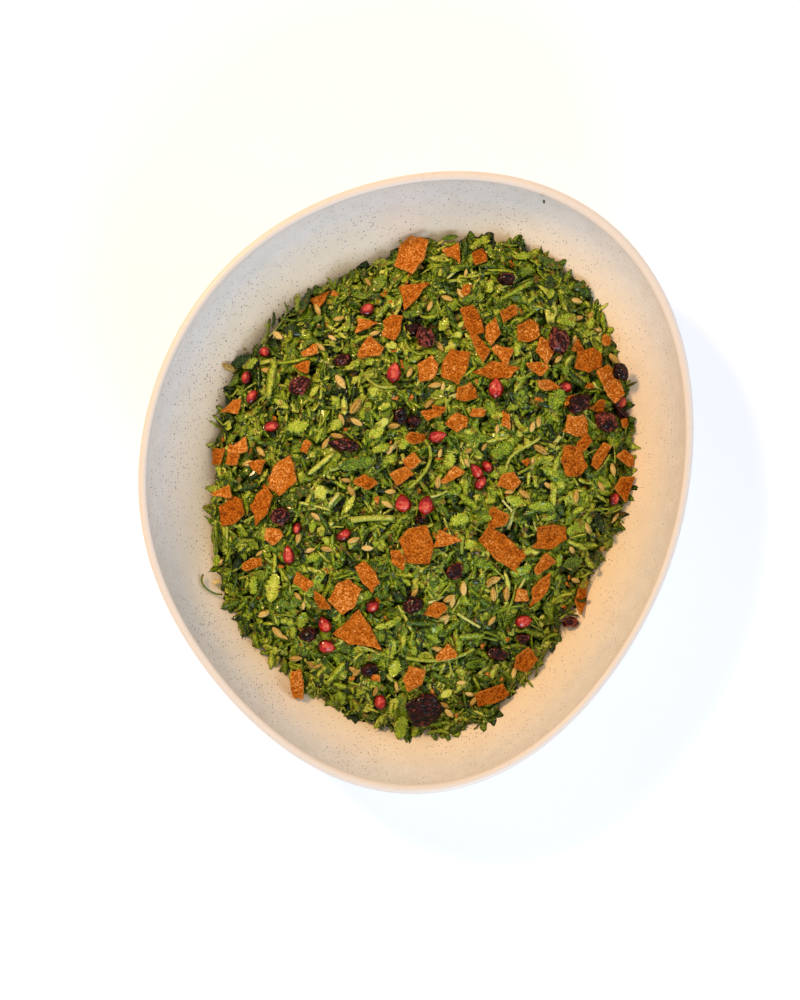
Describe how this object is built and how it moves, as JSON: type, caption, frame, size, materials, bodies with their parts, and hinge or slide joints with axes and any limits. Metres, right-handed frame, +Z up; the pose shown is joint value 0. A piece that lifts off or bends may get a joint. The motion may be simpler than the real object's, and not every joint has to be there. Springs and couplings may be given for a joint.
{
  "type": "dish of fattoush",
  "caption": "Chopped parsley salad with flatbread crisps, pomegranate and dried cranberries, heaped in an egg-shaped speckled stoneware bowl.",
  "frame": {"origin": "on the surface the bowl stands on, under the middle of the bowl's box", "axes": "+Z up, +Y along the bowl's longer way, +X along its shorter way"},
  "size_m": [0.3062, 0.344, 0.076],
  "materials": {
    "stoneware_glaze": "speckled satin stoneware glaze",
    "chopped_parsley": "finely chopped parsley wet with oil",
    "flatbread_crisp": "baked flatbread, spiced and dry",
    "pomegranate_aril": "wet and clear red",
    "dried_cranberry": "wrinkled and sticky dark red"
  },
  "bodies": {
    "root": {"bowl": "stoneware_glaze", "salad": "chopped_parsley", "crisp_01": "flatbread_crisp", "crisp_02": "flatbread_crisp", "crisp_03": "flatbread_crisp", "crisp_04": "flatbread_crisp", "crisp_05": "flatbread_crisp", "crisp_06": "flatbread_crisp", "crisp_07": "flatbread_crisp", "crisp_08": "flatbread_crisp", "crisp_09": "flatbread_crisp", "crisp_10": "flatbread_crisp", "crisp_11": "flatbread_crisp", "crisp_12": "flatbread_crisp", "crisp_13": "flatbread_crisp", "crisp_14": "flatbread_crisp", "crisp_15": "flatbread_crisp", "crisp_16": "flatbread_crisp", "crisp_17": "flatbread_crisp", "crisp_18": "flatbread_crisp", "crisp_19": "flatbread_crisp", "crisp_20": "flatbread_crisp", "crisp_21": "flatbread_crisp", "crisp_22": "flatbread_crisp", "crisp_23": "flatbread_crisp", "crisp_24": "flatbread_crisp", "crisp_25": "flatbread_crisp", "crisp_26": "flatbread_crisp", "crisp_27": "flatbread_crisp", "crisp_28": "flatbread_crisp", "crisp_29": "flatbread_crisp", "crisp_30": "flatbread_crisp", "crisp_31": "flatbread_crisp", "crisp_32": "flatbread_crisp", "crisp_33": "flatbread_crisp", "crisp_34": "flatbread_crisp", "crisp_35": "flatbread_crisp", "crisp_36": "flatbread_crisp", "aril_01": "pomegranate_aril", "aril_02": "pomegranate_aril", "aril_03": "pomegranate_aril", "aril_04": "pomegranate_aril", "aril_05": "pomegranate_aril", "aril_06": "pomegranate_aril", "aril_07": "pomegranate_aril", "aril_08": "pomegranate_aril", "aril_09": "pomegranate_aril", "aril_10": "pomegranate_aril", "cranberry_01": "dried_cranberry", "cranberry_02": "dried_cranberry", "cranberry_03": "dried_cranberry", "cranberry_04": "dried_cranberry", "cranberry_05": "dried_cranberry", "cranberry_06": "dried_cranberry", "cranberry_07": "dried_cranberry", "cranberry_08": "dried_cranberry", "cranberry_09": "dried_cranberry", "cranberry_10": "dried_cranberry", "cranberry_11": "dried_cranberry", "cranberry_12": "dried_cranberry"}
  },
  "joints": []
}
